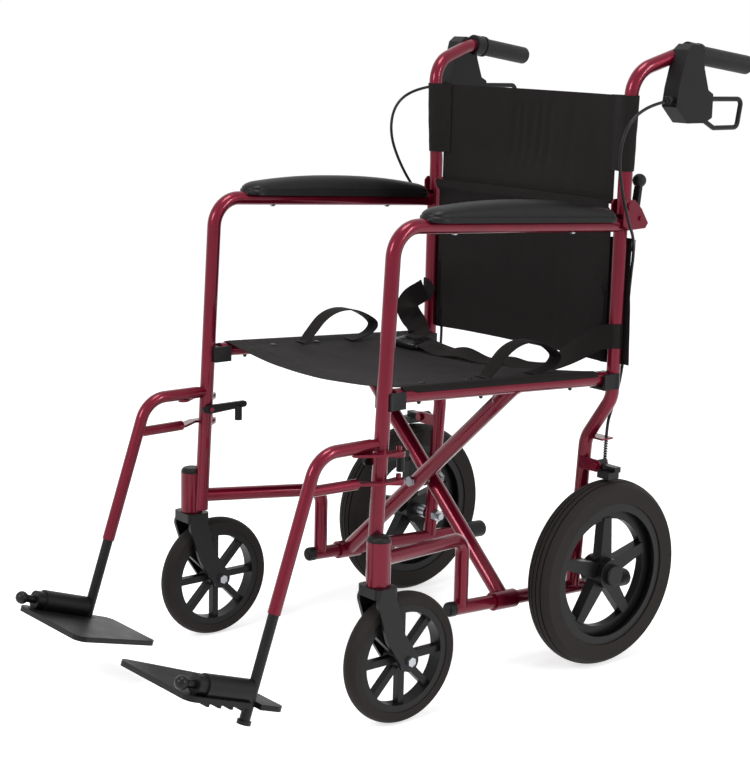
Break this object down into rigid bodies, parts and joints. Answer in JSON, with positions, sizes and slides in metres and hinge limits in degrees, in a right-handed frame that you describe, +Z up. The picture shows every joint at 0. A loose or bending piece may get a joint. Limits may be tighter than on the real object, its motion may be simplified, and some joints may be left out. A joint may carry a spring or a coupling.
{
  "type": "transport wheelchair",
  "caption": "folding transport wheelchair with crimson tube frame, black sling seat, fold-down back, hand brakes and swing-away footrests",
  "frame": {"origin": "centre of the outline on the floor", "axes": "+Z up, the chair faces -Y, the sitter's left is +X"},
  "size_m": [0.5584, 1.0717, 0.9964],
  "materials": {
    "crimson_paint": "glossy candy paint on steel tube",
    "black_paint": "satin black paint on steel plate",
    "black_steel": "black coated steel",
    "zinc_steel": "bright zinc plated steel",
    "black_plastic": "moulded black plastic, fine texture",
    "wheel_plastic": "moulded black nylon",
    "black_pad": "self-skinned black foam, fine grain",
    "grip_rubber": "black rubber sleeve",
    "tyre_rubber": "solid dark grey tyre",
    "cable_sheath": "black plastic cable sheath",
    "black_nylon": "woven black nylon",
    "buckle_plastic": "moulded black plastic"
  },
  "bodies": {
    "left_frame": {"side_tube_left": "crimson_paint", "rear_post_left": "crimson_paint", "lower_frame_left": "crimson_paint", "tube_caps_left": "black_plastic", "seat_saddles_left": "black_plastic", "arm_pad_left": "black_pad", "back_bracket_left": "black_steel", "rear_axle_left": "zinc_steel", "brake_spring_left": "zinc_steel", "brake_cable_left": "cable_sheath", "back_lower": "black_nylon", "seat_belt": "black_nylon", "belt_buckle": "buckle_plastic"},
    "brace_rear": {"brace_rear": "crimson_paint", "brace_bolt": "zinc_steel"},
    "brace_front": {"brace_front": "crimson_paint", "seat_sling": "black_nylon"},
    "right_frame": {"side_tube_right": "crimson_paint", "rear_post_right": "crimson_paint", "lower_frame_right": "crimson_paint", "tube_caps_right": "black_plastic", "seat_saddles_right": "black_plastic", "arm_pad_right": "black_pad", "back_bracket_right": "black_steel", "rear_axle_right": "zinc_steel", "brake_spring_right": "zinc_steel", "brake_cable_right": "cable_sheath"},
    "cane_left": {"back_cane_left": "crimson_paint", "hand_grip_left": "grip_rubber", "brake_housing_left": "black_plastic", "back_upper": "black_nylon"},
    "cane_right": {"back_cane_right": "crimson_paint", "hand_grip_right": "grip_rubber", "brake_housing_right": "black_plastic"},
    "back_lever_left": {"back_lever_left": "black_plastic"},
    "brake_lever_left": {"brake_lever_left": "black_steel"},
    "brake_arm_left": {"brake_arm_left": "black_steel"},
    "rear_wheel_left": {"rear_wheel_left": "wheel_plastic", "rear_tyre_left": "tyre_rubber"},
    "caster_left": {"caster_fork_left": "black_paint", "caster_axle_left": "zinc_steel"},
    "caster_wheel_left": {"caster_wheel_left": "wheel_plastic", "caster_tyre_left": "tyre_rubber"},
    "hanger_left": {"footrest_hanger_left": "crimson_paint"},
    "hanger_latch_left": {"hanger_latch_left": "black_plastic"},
    "extension_left": {"footrest_extension_left": "black_steel"},
    "footplate_left": {"footplate_left": "black_plastic"},
    "back_lever_right": {"back_lever_right": "black_plastic"},
    "brake_lever_right": {"brake_lever_right": "black_steel"},
    "brake_arm_right": {"brake_arm_right": "black_steel"},
    "rear_wheel_right": {"rear_wheel_right": "wheel_plastic", "rear_tyre_right": "tyre_rubber"},
    "caster_right": {"caster_fork_right": "black_paint", "caster_axle_right": "zinc_steel"},
    "caster_wheel_right": {"caster_wheel_right": "wheel_plastic", "caster_tyre_right": "tyre_rubber"},
    "hanger_right": {"footrest_hanger_right": "crimson_paint"},
    "hanger_latch_right": {"hanger_latch_right": "black_plastic"},
    "extension_right": {"footrest_extension_right": "black_steel"},
    "footplate_right": {"footplate_right": "black_plastic"}
  },
  "joints": [
    {"name": "fold", "type": "hinge", "parent": "left_frame", "child": "brace_rear", "pos_m": [0.179, 0.111, 0.11957], "axis": [0, 0.9988, -0.0489], "range_deg": [0, 38], "deforming": ["seat_sling", "back_upper", "back_lower", "seat_belt", "belt_buckle"]},
    {"name": "scissor", "type": "hinge", "parent": "brace_rear", "child": "brace_front", "pos_m": [0, 0.08, 0.2812], "axis": [0, 0.9988, -0.0489], "range_deg": [-76, 0]},
    {"name": "right_fold", "type": "hinge", "parent": "brace_front", "child": "right_frame", "pos_m": [-0.179, 0.08, 0.12109], "axis": [0, 0.9988, -0.0489], "range_deg": [0, 38]},
    {"name": "back_fold_left", "type": "hinge", "parent": "left_frame", "child": "cane_left", "pos_m": [0.2235, 0.297, 0.742], "axis": [-1, 0, 0], "range_deg": [0, 90], "deforming": ["brake_cable_left", "back_upper", "back_lower"]},
    {"name": "back_lever_left", "type": "hinge", "parent": "left_frame", "child": "back_lever_left", "pos_m": [0.2235, 0.322, 0.722], "axis": [-1, 0, 0], "range_deg": [0, 90]},
    {"name": "brake_lever_left", "type": "hinge", "parent": "cane_left", "child": "brake_lever_left", "pos_m": [0.262, 0.408, 0.897], "axis": [1, 0, 0], "range_deg": [0, 16], "stiffness_Nm_per_rad": 0.6},
    {"name": "brake_arm_left", "type": "hinge", "parent": "left_frame", "child": "brake_arm_left", "pos_m": [0.216, 0.281, 0.324], "axis": [0, 1, 0], "range_deg": [0, 7.3], "deforming": ["brake_spring_left"]},
    {"name": "rear_wheel_left", "type": "hinge", "parent": "left_frame", "child": "rear_wheel_left", "pos_m": [0.24, 0.27063, 0.153], "axis": [1, 0, 0], "continuous": true},
    {"name": "caster_swivel_left", "type": "hinge", "parent": "left_frame", "child": "caster_left", "pos_m": [0.242, -0.201, 0.219], "axis": [0, 0, 1], "continuous": true},
    {"name": "caster_spin_left", "type": "hinge", "parent": "caster_left", "child": "caster_wheel_left", "pos_m": [0.242, -0.157, 0.1], "axis": [1, 0, 0], "continuous": true},
    {"name": "hanger_swing_left", "type": "hinge", "parent": "left_frame", "child": "hanger_left", "pos_m": [0.24, -0.166, 0.37], "axis": [0, 0, 1], "range_deg": [0, 90]},
    {"name": "hanger_latch_left", "type": "hinge", "parent": "left_frame", "child": "hanger_latch_left", "pos_m": [0.206, -0.189, 0.395], "axis": [1, 0, 0], "range_deg": [0, 15], "stiffness_Nm_per_rad": 0.5},
    {"name": "footrest_slide_left", "type": "slide", "parent": "hanger_left", "child": "extension_left", "axis": [0, 0.3173, 0.9483], "range_m": [-0.03, 0.043]},
    {"name": "footplate_left", "type": "hinge", "parent": "extension_left", "child": "footplate_left", "pos_m": [0.222, -0.40774, 0.097], "axis": [0, 0.9483, -0.3173], "range_deg": [0, 90]},
    {"name": "back_fold_right", "type": "hinge", "parent": "right_frame", "child": "cane_right", "pos_m": [-0.2235, 0.297, 0.742], "axis": [-1, 0, 0], "range_deg": [0, 90], "deforming": ["brake_cable_right"]},
    {"name": "back_lever_right", "type": "hinge", "parent": "right_frame", "child": "back_lever_right", "pos_m": [-0.2235, 0.322, 0.722], "axis": [-1, 0, 0], "range_deg": [0, 90]},
    {"name": "brake_lever_right", "type": "hinge", "parent": "cane_right", "child": "brake_lever_right", "pos_m": [-0.262, 0.408, 0.897], "axis": [1, 0, 0], "range_deg": [0, 16], "stiffness_Nm_per_rad": 0.6},
    {"name": "brake_arm_right", "type": "hinge", "parent": "right_frame", "child": "brake_arm_right", "pos_m": [-0.216, 0.281, 0.324], "axis": [0, -1, 0], "range_deg": [0, 7.3], "deforming": ["brake_spring_right"]},
    {"name": "rear_wheel_right", "type": "hinge", "parent": "right_frame", "child": "rear_wheel_right", "pos_m": [-0.24, 0.27063, 0.153], "axis": [1, 0, 0], "continuous": true},
    {"name": "caster_swivel_right", "type": "hinge", "parent": "right_frame", "child": "caster_right", "pos_m": [-0.242, -0.201, 0.219], "axis": [0, 0, 1], "continuous": true},
    {"name": "caster_spin_right", "type": "hinge", "parent": "caster_right", "child": "caster_wheel_right", "pos_m": [-0.242, -0.157, 0.1], "axis": [1, 0, 0], "continuous": true},
    {"name": "hanger_swing_right", "type": "hinge", "parent": "right_frame", "child": "hanger_right", "pos_m": [-0.24, -0.166, 0.37], "axis": [0, 0, -1], "range_deg": [0, 90]},
    {"name": "hanger_latch_right", "type": "hinge", "parent": "right_frame", "child": "hanger_latch_right", "pos_m": [-0.206, -0.189, 0.395], "axis": [1, 0, 0], "range_deg": [0, 15], "stiffness_Nm_per_rad": 0.5},
    {"name": "footrest_slide_right", "type": "slide", "parent": "hanger_right", "child": "extension_right", "axis": [0, 0.3173, 0.9483], "range_m": [-0.03, 0.043]},
    {"name": "footplate_right", "type": "hinge", "parent": "extension_right", "child": "footplate_right", "pos_m": [-0.222, -0.40774, 0.097], "axis": [0, -0.9483, 0.3173], "range_deg": [0, 90]}
  ],
  "couplings": [
    {"joint": "scissor", "follows": "fold", "ratio": -2},
    {"joint": "right_fold", "follows": "fold", "ratio": 1},
    {"joint": "back_fold_right", "follows": "back_fold_left", "ratio": 1},
    {"joint": "back_lever_left", "follows": "back_fold_left", "ratio": 1},
    {"joint": "brake_arm_left", "follows": "brake_lever_left", "ratio": 0.45625},
    {"joint": "footplate_left", "follows": "fold", "ratio": 2.3684},
    {"joint": "back_lever_right", "follows": "back_fold_left", "ratio": 1},
    {"joint": "brake_arm_right", "follows": "brake_lever_right", "ratio": 0.45625},
    {"joint": "footplate_right", "follows": "fold", "ratio": 2.3684}
  ]
}
